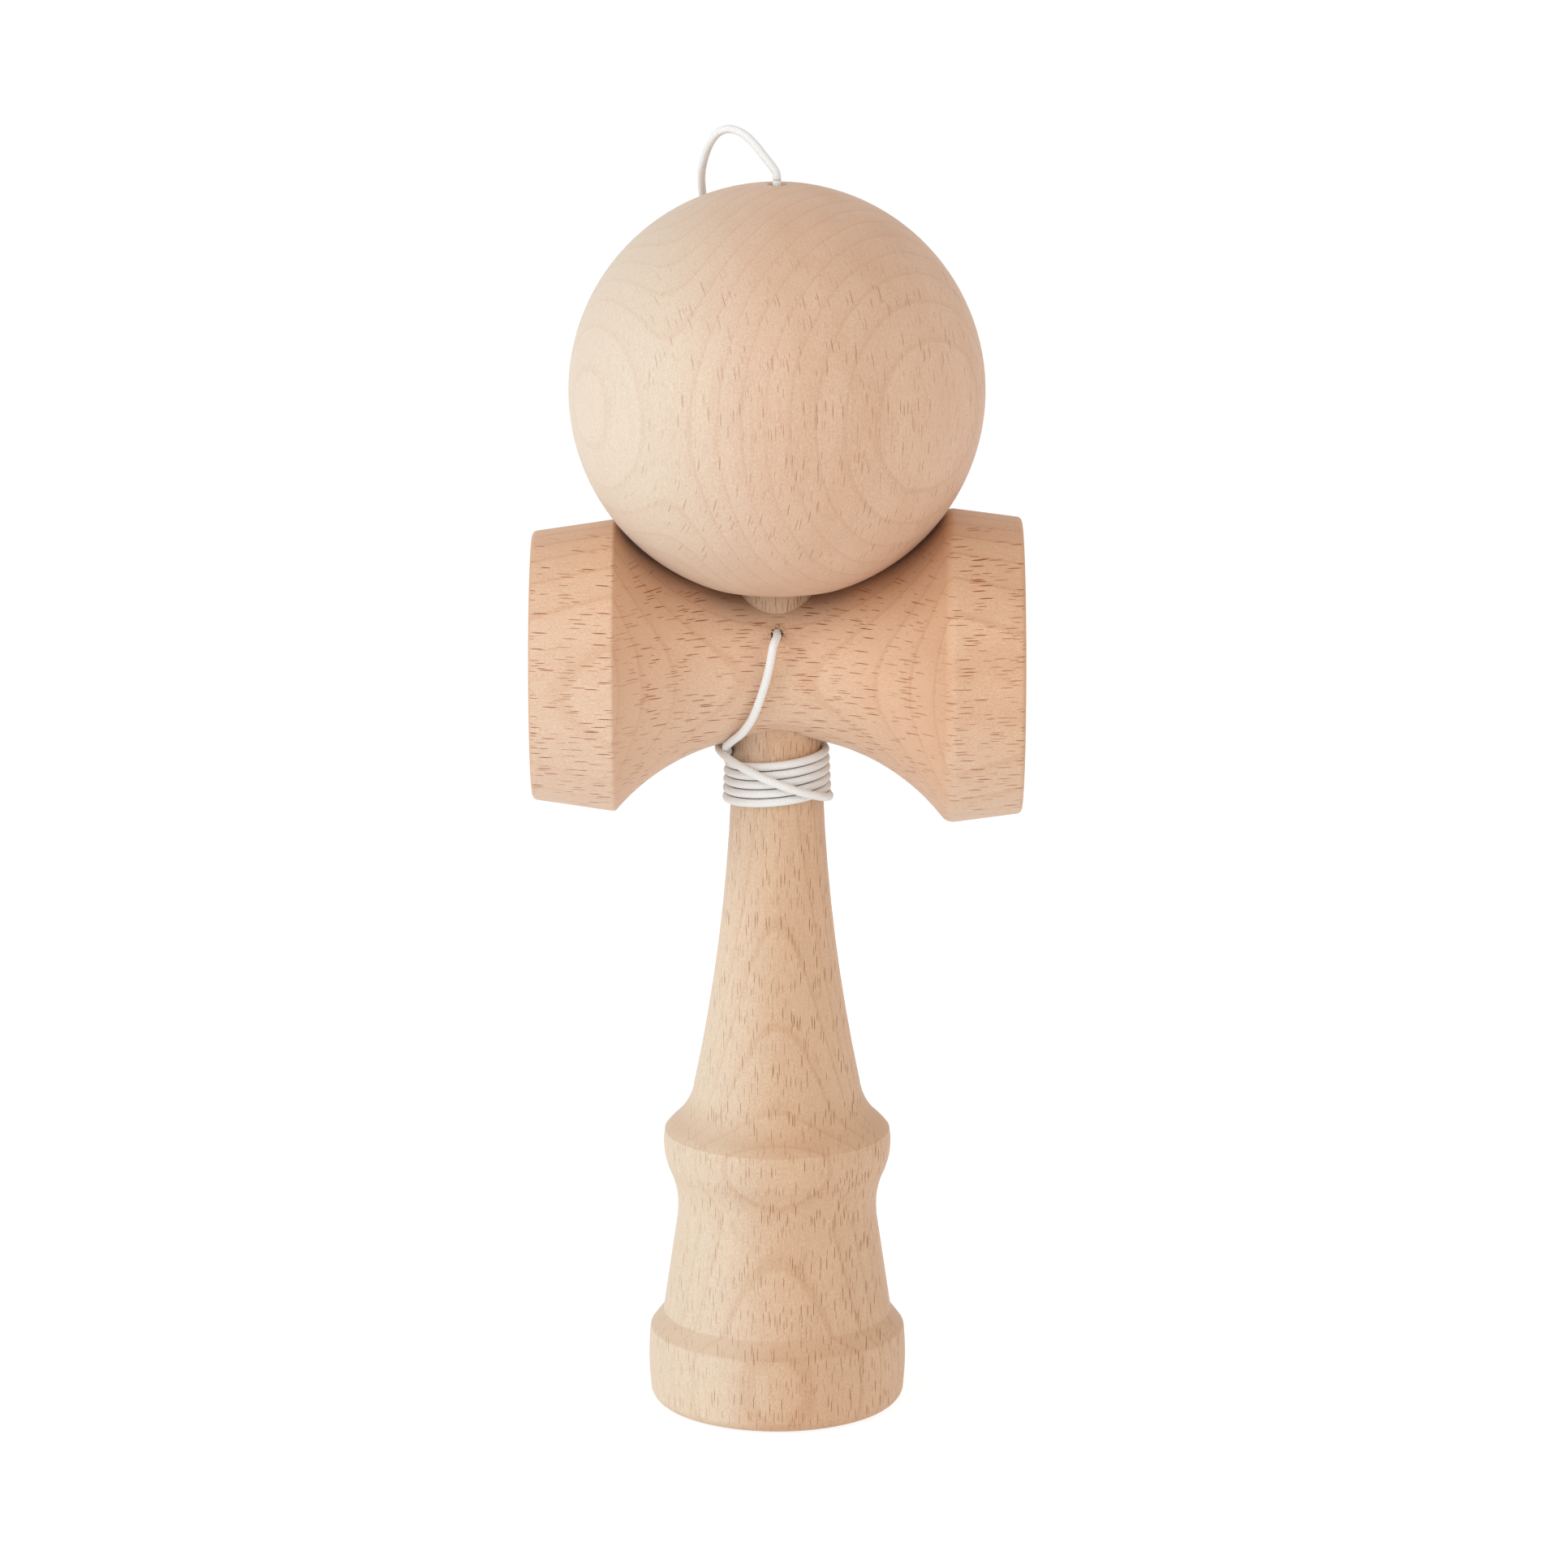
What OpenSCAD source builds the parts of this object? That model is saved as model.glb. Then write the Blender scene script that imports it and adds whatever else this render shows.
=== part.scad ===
// Cup and ball toy: a turned handle with a base cup and a spike, a crosspiece with a cup at each end,
// and a bored ball on a string. It stands on its base cup with the ball on the spike and the string
// wound round the handle. Millimetres; the handle's axis is Z, the cups lie along X, the front is -Y.

/* [Ball] */
// Diameter of the ball
ball_d = 59.5; // [56:0.5:64]
// Diameter of the hole that takes the spike
ball_hole_d = 18.5; // [17:0.5:20]
// Diameter of that hole's bevelled mouth
ball_mouth_d = 21.5; // [20.5:0.5:23]
// How far the hole's straight wall goes on above the spike's tip
ball_hole_room = 5.5; // [5:0.5:7]
// Diameter of the string hole in the top of the ball
ball_string_hole_d = 2.4; // [2:0.1:3.6]
// Diameter of the bead that keeps the string in the ball
bead_d = 6.4; // [5:0.2:7]

/* [Handle] */
// Height from the base rim to the tip of the spike
handle_h = 160; // [156:0.5:164]
// Widest diameter of the base ring
base_d = 37.7; // [36:0.1:42]
// Height of the base ring's outside wall
base_h = 11.2; // [9.6:0.2:12.4]
// Diameter of the base cup at its rim
base_cup_d = 31.6; // [28:0.2:32.4]
// Diameter of the neck where it is narrowest
neck_d = 29; // [26:0.2:30]
// Diameter of the ridge above the neck
ridge_d = 33.2; // [32:0.1:36]
// Diameter of the grip just above the ridge's cove
grip_foot_d = 24.4; // [22.8:0.2:25.4]
// Diameter of the grip's upper end, where the taper for the crosspiece starts
grip_top_d = 13.9; // [13:0.1:15]
// Diameter of the taper at the top of the crosspiece, where the spike starts
spike_d = 10.4; // [9.4:0.1:11.2]
// Diameter of the spike near its rounded tip
spike_tip_d = 5.2; // [4:0.1:6]

/* [Cup crosspiece] */
// Length from cup rim to cup rim
cross_len = 70.4; // [66:0.2:76]
// Height of the crosspiece's axis above the base rim
cross_h = 110.4; // [108:0.2:112]
// Outside diameter of the big cup at its rim
big_rim_d = 42.8; // [41:0.2:46]
// Outside diameter of the big cup's shoulder
big_shoulder_d = 45; // [44:0.2:47]
// Inside diameter of the big cup at its rim
big_cup_d = 40; // [36:0.2:40.6]
// Outside diameter of the small cup at its rim
small_rim_d = 38.8; // [37:0.2:41]
// Outside diameter of the small cup's shoulder
small_shoulder_d = 41.8; // [41:0.2:43]
// Inside diameter of the small cup at its rim
small_cup_d = 36.2; // [33:0.2:36.6]
// Diameter of the waist at its narrowest
waist_d = 20.4; // [19:0.2:22]

/* [String] */
// Diameter of the braided string
string_d = 1.2; // [1:0.1:1.3]
// Diameter of the string hole in the crosspiece and the handle
string_hole_d = 2.2; // [1.9:0.1:2.8]

/* [Clearances] */
// Least gap between the seated ball and the crosspiece
seat_gap = 0.2; // [0.1:0.05:0.6]
// Gap round the handle in the crosspiece's bore
bore_gap = 0.05; // [0:0.01:0.1]
// Gap between the bead and the end of the ball's hole
bead_gap = 0.3; // [0.2:0.05:0.5]
// How much thinner the wound string is drawn, so that its turns stay apart
wound_thinner = 0.34; // [0.15:0.01:0.45]

/* [Hidden] */
$fa = 3;
$fs = 0.4;
wood = "#e2b184";
pale_wood = "#ecc79c";
bead_wood = "#b98a5c";
string_white = "#f1eeea";

// Rounds that meet the next curve at a slight angle are cut this much larger
over = 1.004;

// Handle, as radius and height
base_r = base_d / 2;
base_edge = 2;
base_barrel = 44;
base_barrel_z = base_h / 2 + 1;
base_top_edge = 1;
base_cup_sphere_r = 20;
shoulder_angle = 39;
neck_low_r = base_r - 2.15;
neck_low_z = base_h + 2.4;
neck_z = base_h + 18.4;
neck_cove = 13;
neck_bend_z = neck_z - 1.6;
ridge_r = ridge_d / 2;
ridge_z = neck_z + 9.6;
ridge_barrel = 10;
ridge_low_z = ridge_z - 3.7;
ridge_top_z = ridge_z + 1.9;
ridge_edge = 0.7;
grip_curve = 262;
grip_foot_z = ridge_z + 8.4;
grip_top_z = cross_h - 24.4;
grip_past = 3;
foot_cove = 9;
taper_z = cross_h + 10.6;
taper_from_z = grip_foot_z + 4;
tip_round = 2.65;
tip_z = handle_h - tip_round;

// Crosspiece, as radius and distance along X
half_len = cross_len / 2;
rim_edge = 0.8;
big_shoulder_x = 26;
big_shoulder_edge = 2;
small_shoulder_x = 24.3;
small_shoulder_edge = 0.6;
big_cup_sphere_r = 25;
small_cup_sphere_r = 23;
cradle_ease = 0.3;
cradle_r = ball_d / 2 + seat_gap + cradle_ease;
cradle_shift = -0.1;
cradle_h = waist_d / 2 + cradle_r;
hole_rise = 6.4;
hole_z = cross_h + hole_rise;
hole_mouth_y = -sqrt(pow(waist_d / 2, 2) - pow(hole_rise, 2));
hole_flare_d = 2.5;

// Ball and what it holds
past = 2;
ball_r = ball_d / 2;
ball_z = cross_h + cradle_h - sqrt(pow(cradle_ease, 2) - pow(cradle_shift, 2));
ball_top = ball_z + ball_r;
mouth_z = ball_z - sqrt(pow(ball_r, 2) - pow(ball_mouth_d / 2, 2));
under_z = ball_z - ball_r - past;
wall_low_z = mouth_z + (ball_mouth_d - ball_hole_d) / 2;
wall_top_z = handle_h + ball_hole_room;
drill_half = 59;
drill_z = wall_top_z + ball_hole_d / 2 / tan(drill_half);
flare = 0.3;
bead_hole_d = string_d + 0.6;
bead_z = drill_z - (bead_d / 2 + bead_gap) / sin(drill_half);
ball_knot_r = 1.35;
ball_knot_z = bead_z - bead_d / 2 - 0.9;
string_out_z = ball_top + 0.5;

// Knot of the string in the handle
knot_r = 1.7;
knot_seat_y = 1.2;
knot_pocket_d = 4.6;
knot_gap = 0.05;
knot_y = knot_seat_y + sqrt(pow(knot_r, 2) - pow(string_hole_d / 2 - knot_gap, 2));
string_out_y = -8.8;

// Winding: a helix that leans to the left, whose last turn rises over the others
wind_turns = 6;
wind_rings = 24;
wind_sides = 6;
wind_d = string_d - wound_thinner;
wind_top_z = 98.05;
wind_pitch = 1.1 * string_d;
wind_lean = 0.55;
wind_off = string_d / 2 + 0.02;
wind_over = 1.22 * string_d;
wind_rise_from = 5.5;
wind_end_z = 98.3;
climb_from = 5.48;
climb_len = 0.15;

// Route of the string from the hole in the crosspiece down to the left of the handle
front_route = [
    [-0.5, -11.4, 115.9], [-0.9, -11.8, 113.8], [-1.5, -11.5, 111], [-2.4, -11.2, 108],
    [-3.5, -10.3, 105], [-4.7, -8.6, 102.4], [-5.6, -6, 100.5], [-6.2, -3.6, 98.9],
    [-6.8, -1.9, 98.1]
];
// Route from the winding up behind the crosspiece to the back of the ball
riser_route = [
    [-8.1, 3.6, 98.9], [-7, 6.4, 100], [-5.9, 9, 102.2], [-5.1, 11, 105.2], [-4.6, 12, 108.8],
    [-4.3, 12.5, 112.5], [-4.3, 13.8, 116.6], [-4.5, 16, 121], [-4.8, 19.2, 126], [-5.2, 22.4, 130]
];
// Route up the back of the ball and over to the string hole in its top
loop_route = [
    [-5.5, 24.6, 133], [-5.9, 27, 137], [-6.4, 29, 142], [-7, 30.2, 147], [-7.6, 30.2, 152],
    [-8.2, 29.4, 157], [-8.8, 27.8, 162], [-9.4, 25.2, 166.6], [-10, 21.8, 171], [-10.5, 18, 174.6],
    [-10.8, 14.6, 177.4], [-10.8, 11.8, 180.2], [-10.3, 9.6, 182.8], [-9.5, 7.9, 185],
    [-8.4, 6.6, 186.6], [-7, 5.5, 187.3], [-5.6, 4.4, 187.2], [-4.2, 3.3, 186.5], [-2.9, 2.3, 185.3],
    [-1.7, 1.4, 183.9], [-0.6, 0.5, 182.6]
];

function unit(v) = v / norm(v);
function arc(c, r, from, to, n) =
    [for (i = [0 : n]) c + r * [cos(from + (to - from) * i / n), sin(from + (to - from) * i / n)]];
// Centre of the circle of radius r through p and q, on the right of the way from p to q
function arc_centre(p, q, r) =
    (p + q) / 2 + unit([q[1] - p[1], p[0] - q[0]]) * sqrt(r * r - pow(norm(q - p) / 2, 2));

// How far outside its rim a dish's sphere is centred
function dish_out(sphere_r, rim_d) = sqrt(pow(sphere_r, 2) - pow(rim_d / 2, 2));

// Radius of the handle's taper, which the crosspiece's bore follows
function taper_r(z) =
    grip_top_d / 2 + (spike_d - grip_top_d) / 2 * (z - grip_top_z) / (taper_z - grip_top_z);
function base_wall_r(z) = base_r - base_barrel + sqrt(pow(base_barrel, 2) - pow(z - base_barrel_z, 2));
function ridge_wall_r(z) =
    ridge_r - ridge_barrel + sqrt(pow(ridge_barrel, 2) - pow(z - ridge_z, 2));

grip_c = arc_centre([grip_foot_d / 2, grip_foot_z], [grip_top_d / 2, grip_top_z], grip_curve);
// The cove above the ridge touches a 45 degree slope and the grip's long curve
slope_sum = ridge_wall_r(ridge_top_z) + ridge_top_z + 0.1;
foot_sum = slope_sum + foot_cove * sqrt(2);
foot_b = grip_c[1] - foot_sum - grip_c[0];
foot_q = pow(grip_c[0], 2) + pow(grip_c[1] - foot_sum, 2) - pow(grip_curve - foot_cove, 2);
foot_r = (-foot_b - sqrt(pow(foot_b, 2) - 2 * foot_q)) / 2;
foot_c = [foot_r, foot_sum - foot_r];
foot_touch = foot_c + unit(foot_c - grip_c) * foot_cove;

base_wall = [for (i = [0 : 4]) base_edge + (base_h - 0.5 - base_edge) * i / 4];
ridge_wall = [for (i = [0 : 5]) ridge_low_z + (ridge_top_z - ridge_low_z) * i / 5];

handle_outline = concat(
    [[0, 0]],
    arc([base_wall_r(base_edge) - base_edge, base_edge], base_edge, -90, -15, 5),
    [for (z = base_wall) [base_wall_r(z), z]],
    arc([base_wall_r(base_h - 0.5) - base_top_edge, base_h - 0.5], base_top_edge, 10, shoulder_angle, 3),
    [[neck_low_r, neck_low_z], [neck_d / 2 + 0.08, neck_bend_z], [ridge_r + 0.6, neck_bend_z + 4]],
    [for (z = ridge_wall) [ridge_wall_r(z), z]],
    [[slope_sum - ridge_top_z - ridge_edge, ridge_top_z + ridge_edge], foot_c - [6.48, 6.24]],
    [[ridge_r - 0.6, foot_c[1] - 4], [grip_foot_d / 2 + 3, grip_foot_z + 12]],
    [[grip_top_d / 2 + 3, grip_top_z + grip_past], [0, grip_top_z + grip_past]]
);
spike_outline = [[0, taper_from_z], [taper_r(taper_from_z), taper_from_z], [spike_d / 2, taper_z],
                 [spike_tip_d / 2, tip_z], [spike_tip_d / 2 - 0.2, handle_h + 1], [0, handle_h + 1]];

module handle_profile() {
    difference() {
        polygon(handle_outline);
        translate([0, -dish_out(base_cup_sphere_r, base_cup_d)])
            circle(base_cup_sphere_r);
        translate([neck_d / 2 + neck_cove, neck_z])
            circle(neck_cove);
        translate(foot_c)
            circle(foot_cove * over);
        intersection() {
            translate(grip_c)
                circle(grip_curve, $fn = 720);
            translate([0, foot_touch[1]])
                square([ridge_d, cross_h]);
        }
    }
    difference() {
        polygon(spike_outline);
        difference() {
            translate([-1, tip_z + 0.05])
                square([spike_d, tip_round + 2]);
            translate([0, tip_z])
                circle(tip_round);
        }
    }
}

module handle() {
    color(pale_wood)
        difference() {
            rotate_extrude()
                handle_profile();
            translate([0, knot_seat_y, hole_z])
                rotate([90, 0, 0])
                    cylinder(h = spike_d, d = string_hole_d);
            translate([0, spike_d, hole_z])
                rotate([90, 0, 0])
                    cylinder(h = spike_d - knot_seat_y, d = knot_pocket_d);
        }
}

// Outline of one end of the crosspiece: v is the distance from the handle's axis, and v0 is where the
// waist's arc is centred. The wall is straight from the rim to the shoulder, which is rounded.
function wall_slope(rim_r, top_r, top_v) = (rim_r - top_r) / (half_len - top_v);
function shoulder_c(rim_r, top_r, top_v, edge, v0) =
    let (
        b = wall_slope(rim_r, top_r, top_v),
        k = top_r - b * top_v - edge * sqrt(1 + b * b),
        s = cradle_r + edge,
        m = v0 + b * (cradle_h - k),
        v = (m + sqrt(m * m - (1 + b * b) * (v0 * v0 + pow(cradle_h - k, 2) - s * s))) / (1 + b * b)
    )
    [k + b * v, v];
function cup_end(rim_r, top_r, top_v, edge, v0, n) =
    let (
        b = wall_slope(rim_r, top_r, top_v),
        c = shoulder_c(rim_r, top_r, top_v, edge, v0),
        tilt = atan(-b),
        turn = atan2(v0 - c[1], cradle_h - c[0])
    )
    concat(
        arc([rim_r - rim_edge, half_len - rim_edge], rim_edge, 90, tilt, 5),
        arc(c, edge, tilt, turn - 6, n)
    );

big_end = cup_end(big_rim_d / 2, big_shoulder_d / 2, big_shoulder_x, big_shoulder_edge, cradle_shift, 7);
small_end =
    cup_end(small_rim_d / 2, small_shoulder_d / 2, small_shoulder_x, small_shoulder_edge, -cradle_shift, 5);
cross_outline = concat(
    [[0, half_len]],
    big_end,
    [[small_shoulder_d / 2, 10], [small_shoulder_d / 2, -10]],
    [for (i = [len(small_end) - 1 : -1 : 0]) [small_end[i][0], -small_end[i][1]]],
    [[0, -half_len]]
);

module cup_crosspiece() {
    color(wood)
        difference() {
            translate([0, 0, cross_h])
                rotate([0, 90, 0])
                    rotate_extrude()
                        difference() {
                            polygon(cross_outline);
                            translate([cradle_h, cradle_shift])
                                circle(cradle_r);
                            translate([0, half_len + dish_out(big_cup_sphere_r, big_cup_d)])
                                circle(big_cup_sphere_r);
                            translate([0, -half_len - dish_out(small_cup_sphere_r, small_cup_d)])
                                circle(small_cup_sphere_r);
                        }
            translate([0, 0, cross_h - waist_d])
                cylinder(h = 2 * waist_d, r1 = taper_r(cross_h - waist_d) + bore_gap,
                         r2 = taper_r(cross_h + waist_d) + bore_gap);
            translate([0, 0, hole_z])
                rotate([90, 0, 0])
                    cylinder(h = waist_d, d = string_hole_d);
            translate([0, hole_mouth_y - 0.4, hole_z])
                sphere(d = hole_flare_d);
        }
}

// The spike's hole: a bevelled mouth, a straight wall and a drilled end
ball_hole_outline = [
    [0, under_z], [ball_mouth_d / 2 + mouth_z - under_z, under_z], [ball_hole_d / 2, wall_low_z],
    [ball_hole_d / 2, wall_top_z], [0, drill_z]
];
// The string hole, which opens out a little at the top of the ball
string_hole_outline = [
    [0, wall_top_z], [ball_string_hole_d / 2, wall_top_z], [ball_string_hole_d / 2, ball_top - flare],
    [ball_string_hole_d / 2 + flare + past, ball_top + past], [0, ball_top + past]
];

module ball() {
    color(pale_wood)
        difference() {
            translate([0, 0, ball_z])
                sphere(ball_r);
            rotate_extrude()
                polygon(ball_hole_outline);
            rotate_extrude()
                polygon(string_hole_outline);
        }
}

module swivel_bead() {
    color(bead_wood)
        translate([0, 0, bead_z])
            difference() {
                sphere(d = bead_d);
                cylinder(h = 2 * bead_d, d = bead_hole_d, center = true);
            }
}

// The knotted end in the handle, and the string as far as the mouth of the hole
module string_handle_end() {
    color(string_white) {
        translate([0, knot_y, hole_z])
            sphere(knot_r);
        translate([0, knot_y, hole_z])
            rotate([90, 0, 0])
                cylinder(h = knot_y - string_out_y, d = string_d);
    }
}

// The knotted end under the bead, and the string as far as the top of the ball
module string_ball_end() {
    color(string_white) {
        translate([0, 0, ball_knot_z])
            sphere(ball_knot_r);
        translate([0, 0, ball_knot_z])
            cylinder(h = string_out_z - ball_knot_z, d = string_d);
    }
}

// Tube along a route: a ring at each point, square to the way there, turned as little as possible
function heading(p, i) =
    let (last = len(p) - 1)
    i == 0 ? unit(p[1] - p[0])
    : i == last ? unit(p[last] - p[last - 1])
    : unit(unit(p[i + 1] - p[i]) + unit(p[i] - p[i - 1]));
function square_to(t, v) = unit(v - t * (v * t));
function ring_sides(p, v, i = 0, out = []) =
    i == len(p) ? out
    : let (u = square_to(heading(p, i), i == 0 ? v : out[i - 1]))
      ring_sides(p, v, i + 1, concat(out, [u]));
function ring(c, t, u, r, n) =
    [for (k = [0 : n - 1]) c + r * (cos(360 * k / n) * u + sin(360 * k / n) * cross(t, u))];
function tube_points(p, us, r, n) =
    [for (i = [0 : len(p) - 1]) each ring(p[i], heading(p, i), us[i], r, n)];
function tube_faces(m, n) = concat(
    [for (k = [1 : n - 2]) [0, k, k + 1]],
    [for (i = [0 : m - 2], k = [0 : n - 1]) [i * n + k, (i + 1) * n + (k + 1) % n, i * n + (k + 1) % n]],
    [for (i = [0 : m - 2], k = [0 : n - 1]) [i * n + k, (i + 1) * n + k, (i + 1) * n + (k + 1) % n]],
    [for (k = [1 : n - 2]) [(m - 1) * n, (m - 1) * n + k + 1, (m - 1) * n + k]]
);
module tube(p, us, d, n) {
    polyhedron(points = tube_points(p, us, d / 2, n), faces = tube_faces(len(p), n));
}
module string_tube(p, v) {
    color(string_white)
        tube(p, ring_sides(p, v), string_d, 8);
}

// Place of the winding after t turns: it starts at the left, goes round the back and comes to the front
// from the right. The last turn climbs on to the others and crosses them from lower right to upper left.
function smooth(t) = let (c = min(1, max(0, t))) c * c * (3 - 2 * c);
function wind_angle(t) = 180 - 360 * t;
function wind_helix_z(t) = wind_top_z - wind_pitch * (t - 0.5) + wind_lean * (cos(wind_angle(t)) - 1);
function wind_z(t) =
    t <= wind_rise_from ? wind_helix_z(t)
    : let (low = wind_helix_z(wind_rise_from))
      low + (wind_end_z - low) * (1 - cos(360 * (t - wind_rise_from))) / 2;
function wind_r(t) = taper_r(wind_z(t)) + wind_off + wind_over * smooth((t - climb_from) / climb_len);
function wind_at(t) = [wind_r(t) * cos(wind_angle(t)), wind_r(t) * sin(wind_angle(t)), wind_z(t)];
function wind_out(t) = [cos(wind_angle(t)), sin(wind_angle(t)), 0];

wind_times = [for (i = [1 : wind_turns * wind_rings]) i / wind_rings];
wind_start = wind_times[0];
wind_first = wind_at(wind_start) - unit(wind_at(wind_start + 0.02) - wind_at(wind_start)) * string_d;
wind_last = wind_at(wind_turns) + unit(wind_at(wind_turns) - wind_at(wind_turns - 0.02)) * string_d;
wind_route = concat([wind_first], [for (t = wind_times) wind_at(t)], [wind_last]);
wind_sides_out = concat([wind_out(wind_start)], [for (t = wind_times) wind_out(t)], [wind_out(wind_turns)]);
wind_us = [for (i = [0 : len(wind_route) - 1]) square_to(heading(wind_route, i), wind_sides_out[i])];

// Least distance between points of the winding's surface that are over half a turn apart
wind_points = tube_points(wind_route, wind_us, wind_d / 2, wind_sides);
wind_gap = min([
    for (i = [0 : len(wind_route) - 1], j = [i + wind_rings / 2 : 1 : len(wind_route) - 1])
        if (norm(wind_route[i] - wind_route[j]) < 3)
            for (a = [0 : wind_sides - 1], b = [0 : wind_sides - 1])
                norm(wind_points[i * wind_sides + a] - wind_points[j * wind_sides + b])
]);
echo(winding_gap_to_itself = wind_gap);

module string_winding() {
    color(string_white)
        tube(wind_route, wind_us, wind_d, wind_sides);
}

// The free stretches take their end points from the pieces that they meet
front_path = concat([[0, string_out_y, hole_z], [0, string_out_y - string_d, hole_z]], front_route,
                    [wind_first - unit(wind_at(wind_start) - wind_first) * string_d / 2, wind_first]);
riser_path = concat([wind_last, wind_last + unit(wind_last - wind_at(wind_turns)) * string_d], riser_route,
                    [loop_route[0] - unit(loop_route[1] - loop_route[0]) * string_d, loop_route[0]]);
loop_path = concat(loop_route, [[0, 0, string_out_z + string_d], [0, 0, string_out_z]]);

module string_front() {
    string_tube(front_path, [1, 0, 0]);
}
module string_riser() {
    string_tube(riser_path, [0, 0, 1]);
}
module string_loop() {
    string_tube(loop_path, [1, 0, 0]);
}

handle();
cup_crosspiece();
ball();
swivel_bead();
string_handle_end();
string_front();
string_winding();
string_riser();
string_loop();
string_ball_end();
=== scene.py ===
# %% [markdown]
# A wooden cup and ball toy stands on its base cup. The ball sits on the spike, and the string is wound round
# the handle. The imported CAD model is the frame: every piece below but the string's tube rides on one of its
# bodies.

# %% Load the frame
import bpy
import bmesh
import math
import numpy as np
from mathutils import Matrix, Vector
from types import SimpleNamespace


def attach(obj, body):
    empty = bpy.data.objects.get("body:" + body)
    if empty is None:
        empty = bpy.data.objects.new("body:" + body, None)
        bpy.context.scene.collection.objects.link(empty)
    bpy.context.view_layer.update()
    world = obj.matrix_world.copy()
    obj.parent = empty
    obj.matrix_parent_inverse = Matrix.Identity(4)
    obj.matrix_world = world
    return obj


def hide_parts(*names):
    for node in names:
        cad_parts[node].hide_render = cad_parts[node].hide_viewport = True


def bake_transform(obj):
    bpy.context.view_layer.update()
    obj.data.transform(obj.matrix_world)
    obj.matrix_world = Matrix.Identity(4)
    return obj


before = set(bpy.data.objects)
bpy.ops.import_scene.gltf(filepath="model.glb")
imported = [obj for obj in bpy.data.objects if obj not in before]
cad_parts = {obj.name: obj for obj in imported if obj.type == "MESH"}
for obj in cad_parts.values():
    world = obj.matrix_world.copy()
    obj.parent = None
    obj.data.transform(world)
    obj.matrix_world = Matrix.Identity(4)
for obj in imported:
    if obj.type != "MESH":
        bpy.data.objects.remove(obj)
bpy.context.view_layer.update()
MM = 0.001

# %% [markdown]
# The photograph was taken with a long lens from about a metre away, a little above the ball. A long lens keeps
# the handle's sides nearly parallel. The pitch and the distance were fitted to the ellipses of the cups and base.

# %% Camera
PHOTO_PX = 1932
FOCAL_PX = 8780
SENSOR_MM = 36
CAMERA_PLACE = Vector((1, -1000, 339.7)) * MM
PITCH_DOWN = 13.87

camera = bpy.data.objects.new("camera", bpy.data.cameras.new("camera"))
camera.data.lens = FOCAL_PX / PHOTO_PX * SENSOR_MM
camera.data.sensor_width = SENSOR_MM
camera.location = CAMERA_PLACE
camera.rotation_euler = (math.radians(90 - PITCH_DOWN), 0, 0)
bpy.context.scene.collection.objects.link(camera)
bpy.context.scene.camera = camera
print("camera lens in mm:", round(camera.data.lens, 1))

# %% [markdown]
# The string is one braided cord. It comes out of the hole in the crosspiece, drops down the front, goes six
# times round the handle, climbs behind the ball and loops over into the hole in its top. These are the points
# of its route, in millimetres. A cord is drawn best as a tube along a route, because it has no profile to spin.

# %% Route of the string
STRING_D = 1.2
front = [(0, -8.8, 116.8), (0, -10, 116.8), (-0.5, -11.4, 115.9), (-0.9, -11.8, 113.8), (-1.5, -11.5, 111),
         (-2.4, -11.2, 108), (-3.5, -10.3, 105), (-5.0, -8.6, 102.4), (-6.5, -6.1, 100.6), (-7.3, -3.7, 99.2),
         (-7.05, -1.75, 98.1)]
riser = [(-8.1, 3.6, 98.9), (-7, 6.4, 100), (-5.9, 9, 102.2), (-5.1, 11, 105.2), (-4.6, 12, 108.8),
         (-4.3, 12.5, 112.5), (-4.3, 13.8, 116.6), (-4.5, 16, 121), (-4.8, 19.2, 126), (-5.2, 22.4, 130)]
loop = [(-5.5, 24.6, 133), (-5.9, 27, 137), (-6.4, 29, 142), (-7, 30.2, 147), (-7.6, 30.2, 152),
        (-8.2, 29.4, 157), (-8.8, 27.8, 162), (-9.4, 25.2, 166.6), (-10, 21.8, 171), (-10.5, 18, 174.6),
        (-10.8, 14.6, 177.4), (-10.8, 11.8, 180.2), (-10.3, 9.6, 182.8), (-9.5, 7.9, 185), (-8.4, 6.6, 186.6),
        (-7, 5.5, 187.3), (-5.6, 4.4, 187.2), (-4.2, 3.3, 186.5), (-2.9, 2.3, 185.3), (-1.7, 1.4, 183.9),
        (-0.6, 0.5, 182.6), (-0.1, 0.1, 181.8), (0, 0, 180.82)]
print("points at the front, behind the crosspiece and in the loop:", len(front), len(riser), len(loop))

# %% [markdown]
# The six turns lie side by side on the handle's taper, each a little higher at the right. After five and a half
# turns the string climbs on to the others and crosses them, back up to where it began. The turns could be drawn
# point by point, but a formula keeps them evenly spaced and just clear of the wood.

# %% Turns round the handle
TAPER_R, TAPER_Z, TAPER_SLOPE = 6.95, 86, 0.05  # the handle's radius at one height, and how it thins upwards
TURNS, POINTS_PER_TURN = 6, 24
TURN_TOP, TURN_PITCH, TURN_TILT = 98.05, 1.32, 0.55
CROSSING_FROM, CROSSING_TOP = 5.5, 98.3  # turns before the crossing, and the height that it ends at
ON_THE_WOOD, OVER_A_TURN = 0.62, 1.464  # how far the string's middle lies off the wood, and how much more on top
CLIMB_FROM, CLIMB_TURNS = 5.48, 0.15


def taper_r(z):
    return TAPER_R - TAPER_SLOPE * (z - TAPER_Z)


def ease(t):
    t = min(1.0, max(0.0, t))
    return t * t * (3 - 2 * t)


def helix_z(t):
    return TURN_TOP - TURN_PITCH * (t - 0.5) + TURN_TILT * (math.cos(math.pi * (1 - 2 * t)) - 1)


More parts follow.
